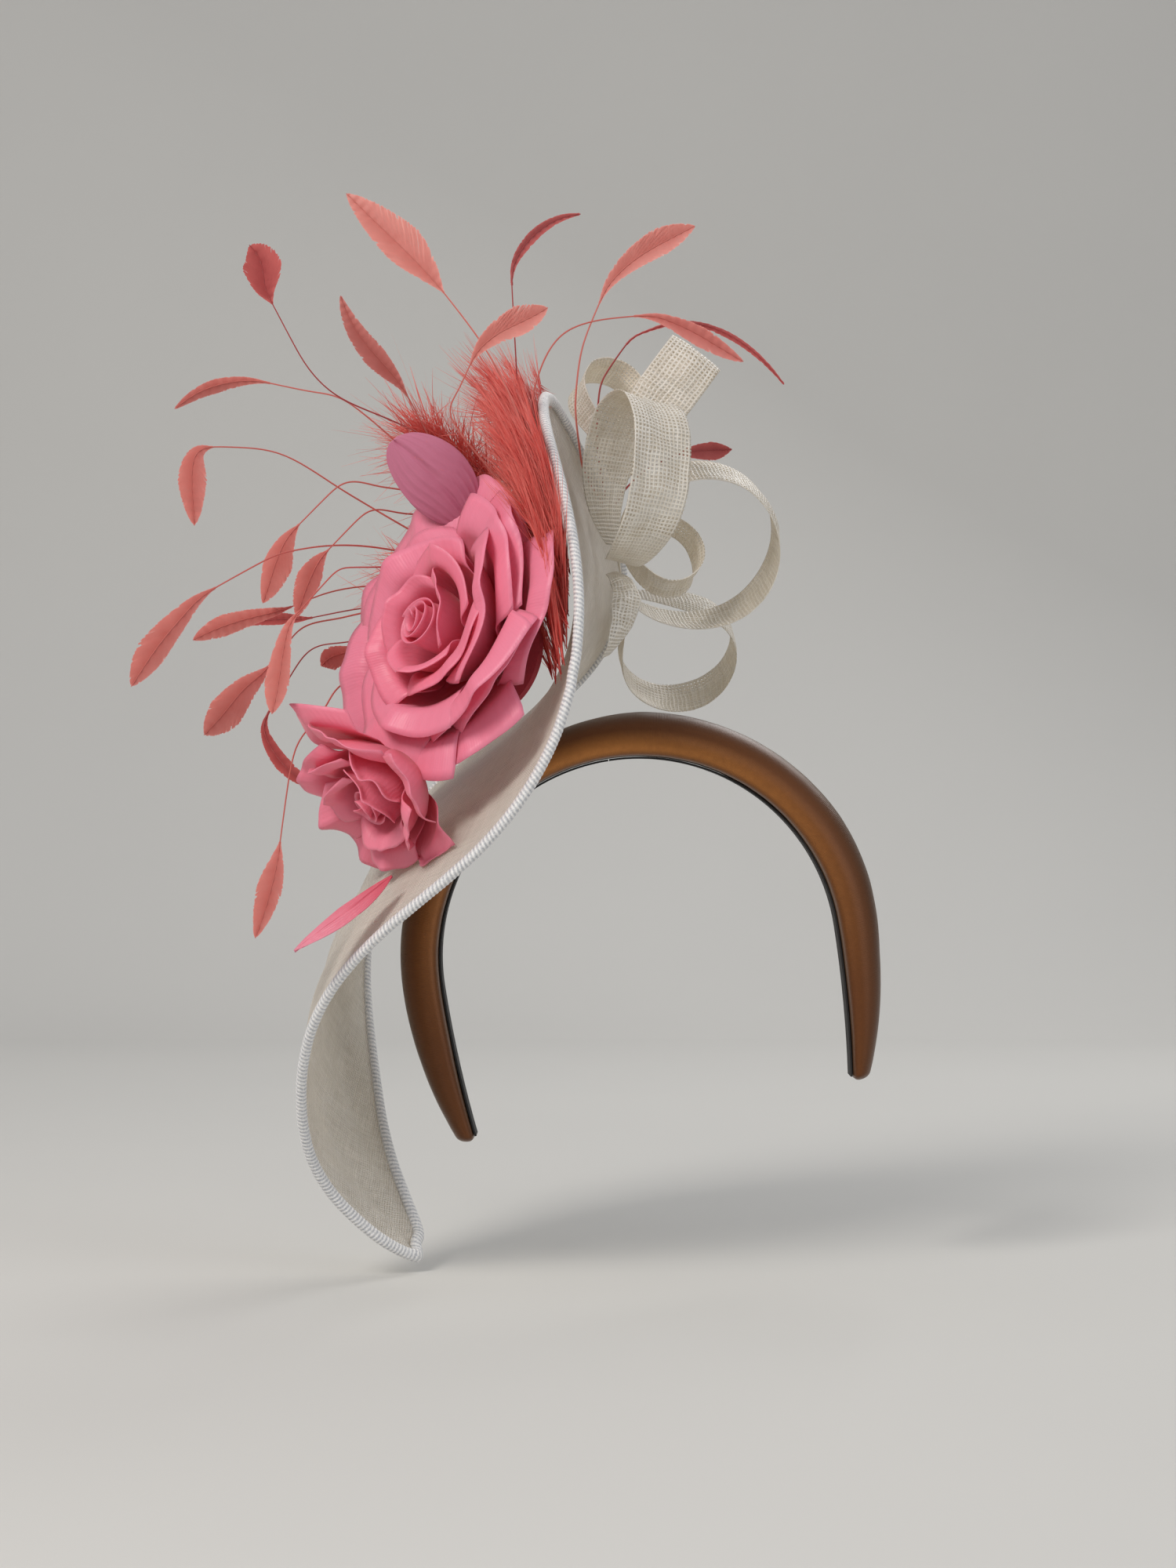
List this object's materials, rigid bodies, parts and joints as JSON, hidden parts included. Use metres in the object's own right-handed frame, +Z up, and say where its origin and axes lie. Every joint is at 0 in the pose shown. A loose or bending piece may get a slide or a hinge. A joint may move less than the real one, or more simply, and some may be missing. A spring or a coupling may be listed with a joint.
{
  "type": "fascinator headpiece",
  "caption": "Padded satin headband carrying a swept ivory sinamay brim with bound edge, silk roses, looped sinamay ribbons, hackle plumes and sprung trimmed feathers",
  "frame": {"origin": "centre of the round inner face of the headband, which fits over the head", "axes": "+Z is up as worn, +X is the wearer's left, -Y is the way the wearer faces; +Y is the axis of the band's round part"},
  "size_m": [0.2843, 0.1907, 0.4174],
  "materials": {
    "satin": "satin",
    "foam": "open foam",
    "spring_steel": "brushed",
    "lining": "ribbed",
    "sinamay": "open weave",
    "loop_sinamay": "open weave",
    "binding": "twill",
    "edge_wire": "drawn",
    "felt": "felted",
    "rose_silk": "satin",
    "leaf_silk": "satin",
    "hackle": "fluffy",
    "feather": "barbed",
    "tie_thread": "matte"
  },
  "bodies": {
    "headpiece": {"brim_cloth": "sinamay", "brim_edge_binding": "binding", "brim_edge_wire": "edge_wire", "feather_ties": "tie_thread", "foam_pad_left": "foam", "front_loop": "loop_sinamay", "large_rose_backing": "felt", "large_rose_bud": "rose_silk", "large_rose_inner_petals": "rose_silk", "large_rose_middle_petals": "rose_silk", "large_rose_outer_petals": "rose_silk", "left_plume": "hackle", "lining_ribbon_left": "lining", "lower_loop": "loop_sinamay", "lower_silk_leaf": "leaf_silk", "middle_loop": "loop_sinamay", "ribbon_tail": "loop_sinamay", "right_loop": "loop_sinamay", "rim_plume": "hackle", "satin_cover_left": "satin", "small_rose_backing": "felt", "small_rose_bud": "rose_silk", "small_rose_inner_petals": "rose_silk", "small_rose_outer_petals": "rose_silk", "spring_strip_left": "spring_steel", "top_loop": "loop_sinamay", "upper_plume": "hackle", "upper_silk_leaf": "leaf_silk", "upright_loop": "loop_sinamay"},
    "band_right": {"foam_pad_right": "foam", "lining_ribbon_right": "lining", "satin_cover_right": "satin", "spring_strip_right": "spring_steel"},
    "feather_01_body": {"feather_01": "feather"},
    "feather_02_body": {"feather_02": "feather"},
    "feather_03_body": {"feather_03": "feather"},
    "feather_04_body": {"feather_04": "feather"},
    "feather_05_body": {"feather_05": "feather"},
    "feather_06_body": {"feather_06": "feather"},
    "feather_07_body": {"feather_07": "feather"},
    "feather_08_body": {"feather_08": "feather"},
    "feather_09_body": {"feather_09": "feather"},
    "feather_10_body": {"feather_10": "feather"},
    "feather_11_body": {"feather_11": "feather"},
    "feather_12_body": {"feather_12": "feather"},
    "feather_13_body": {"feather_13": "feather"},
    "feather_14_body": {"feather_14": "feather"},
    "feather_15_body": {"feather_15": "feather"},
    "feather_16_body": {"feather_16": "feather"},
    "feather_17_body": {"feather_17": "feather"},
    "feather_18_body": {"feather_18": "feather"},
    "feather_19_body": {"feather_19": "feather"},
    "feather_20_body": {"feather_20": "feather"},
    "feather_21_body": {"feather_21": "feather"}
  },
  "joints": [
    {"name": "band_spread", "type": "hinge", "parent": "headpiece", "child": "band_right", "pos_m": [-0.01262, 0, 0.07966], "axis": [0, -1, 0], "range_deg": [-4, 12], "stiffness_Nm_per_rad": 3},
    {"name": "feather_01_nod", "type": "hinge", "parent": "headpiece", "child": "feather_01_body", "pos_m": [-0.04343, -0.02519, 0.14707], "axis": [0.6733, -0.5496, 0.4946], "range_deg": [-1, 1], "stiffness_Nm_per_rad": 0.02},
    {"name": "feather_02_nod", "type": "hinge", "parent": "headpiece", "child": "feather_02_body", "pos_m": [-0.03956, -0.02557, 0.14706], "axis": [0.6518, -0.7578, -0.029], "range_deg": [-2, 2], "stiffness_Nm_per_rad": 0.02},
    {"name": "feather_03_nod", "type": "hinge", "parent": "headpiece", "child": "feather_03_body", "pos_m": [-0.04364, -0.02606, 0.14757], "axis": [0.6868, -0.6074, 0.3992], "range_deg": [0, 2], "stiffness_Nm_per_rad": 0.02},
    {"name": "feather_04_nod", "type": "hinge", "parent": "headpiece", "child": "feather_04_body", "pos_m": [-0.04117, -0.0219, 0.14513], "axis": [0.6159, -0.4031, 0.6769], "range_deg": [-2, 2], "stiffness_Nm_per_rad": 0.02},
    {"name": "feather_05_nod", "type": "hinge", "parent": "headpiece", "child": "feather_05_body", "pos_m": [-0.04476, -0.0235, 0.14441], "axis": [0.4418, -0.1092, 0.8904], "range_deg": [-2, 1], "stiffness_Nm_per_rad": 0.02},
    {"name": "feather_06_nod", "type": "hinge", "parent": "headpiece", "child": "feather_06_body", "pos_m": [-0.04211, -0.02079, 0.14221], "axis": [0.3213, 0.0531, 0.9455], "range_deg": [-2, 2], "stiffness_Nm_per_rad": 0.02},
    {"name": "feather_07_nod", "type": "hinge", "parent": "headpiece", "child": "feather_07_body", "pos_m": [-0.04344, -0.02326, 0.14533], "axis": [0.5668, -0.3082, 0.764], "range_deg": [0, 2], "stiffness_Nm_per_rad": 0.02},
    {"name": "feather_08_nod", "type": "hinge", "parent": "headpiece", "child": "feather_08_body", "pos_m": [-0.04265, -0.02198, 0.14419], "axis": [0.4972, -0.1921, 0.8461], "range_deg": [0, 2], "stiffness_Nm_per_rad": 0.02},
    {"name": "feather_09_nod", "type": "hinge", "parent": "headpiece", "child": "feather_09_body", "pos_m": [-0.038, -0.01709, 0.13991], "axis": [0.24, 0.1518, 0.9588], "range_deg": [-2, 2], "stiffness_Nm_per_rad": 0.02},
    {"name": "feather_10_nod", "type": "hinge", "parent": "headpiece", "child": "feather_10_body", "pos_m": [-0.03879, -0.01788, 0.13911], "axis": [0.1012, 0.3052, 0.9469], "range_deg": [-2, 2], "stiffness_Nm_per_rad": 0.02},
    {"name": "feather_11_nod", "type": "hinge", "parent": "headpiece", "child": "feather_11_body", "pos_m": [-0.04109, -0.0198, 0.14099], "axis": [0.2264, 0.1677, 0.9595], "range_deg": [-2, 2], "stiffness_Nm_per_rad": 0.02},
    {"name": "feather_12_nod", "type": "hinge", "parent": "headpiece", "child": "feather_12_body", "pos_m": [-0.04067, -0.01965, 0.13939], "axis": [0.0402, 0.3671, 0.9293], "range_deg": [-2, 2], "stiffness_Nm_per_rad": 0.02},
    {"name": "feather_13_nod", "type": "hinge", "parent": "headpiece", "child": "feather_13_body", "pos_m": [-0.03638, -0.01594, 0.13758], "axis": [0.0198, 0.3871, 0.9218], "range_deg": [-2, 2], "stiffness_Nm_per_rad": 0.02},
    {"name": "feather_14_nod", "type": "hinge", "parent": "headpiece", "child": "feather_14_body", "pos_m": [-0.03696, -0.01683, 0.13711], "axis": [-0.0856, 0.4847, 0.8705], "range_deg": [0, 2], "stiffness_Nm_per_rad": 0.02},
    {"name": "feather_15_nod", "type": "hinge", "parent": "headpiece", "child": "feather_15_body", "pos_m": [-0.03761, -0.01709, 0.13789], "axis": [-0.0041, 0.4101, 0.912], "range_deg": [-2, 2], "stiffness_Nm_per_rad": 0.02},
    {"name": "feather_16_nod", "type": "hinge", "parent": "headpiece", "child": "feather_16_body", "pos_m": [-0.03555, -0.02031, 0.14503], "axis": [0.6891, -0.692, 0.2151], "range_deg": [-2, 2], "stiffness_Nm_per_rad": 0.02},
    {"name": "feather_17_nod", "type": "hinge", "parent": "headpiece", "child": "feather_17_body", "pos_m": [-0.03762, -0.02286, 0.14608], "axis": [0.6787, -0.7258, 0.1122], "range_deg": [-2, 1], "stiffness_Nm_per_rad": 0.02},
    {"name": "feather_18_nod", "type": "hinge", "parent": "headpiece", "child": "feather_18_body", "pos_m": [-0.03542, -0.02163, 0.14539], "axis": [0.6617, -0.7496, 0.0149], "range_deg": [-2, 2], "stiffness_Nm_per_rad": 0.02},
    {"name": "feather_19_nod", "type": "hinge", "parent": "headpiece", "child": "feather_19_body", "pos_m": [-0.01484, 0.03079, 0.18185], "axis": [0.5924, 0.4287, 0.6822], "range_deg": [-2, 2], "stiffness_Nm_per_rad": 0.02},
    {"name": "feather_20_nod", "type": "hinge", "parent": "headpiece", "child": "feather_20_body", "pos_m": [-0.01302, 0.03399, 0.18307], "axis": [0.8559, 0.512, 0.0722], "range_deg": [-2, 2], "stiffness_Nm_per_rad": 0.02},
    {"name": "feather_21_nod", "type": "hinge", "parent": "headpiece", "child": "feather_21_body", "pos_m": [-0.00915, 0.03513, 0.18179], "axis": [0.6665, 0.3124, -0.6769], "range_deg": [-2, 2], "stiffness_Nm_per_rad": 0.02}
  ]
}
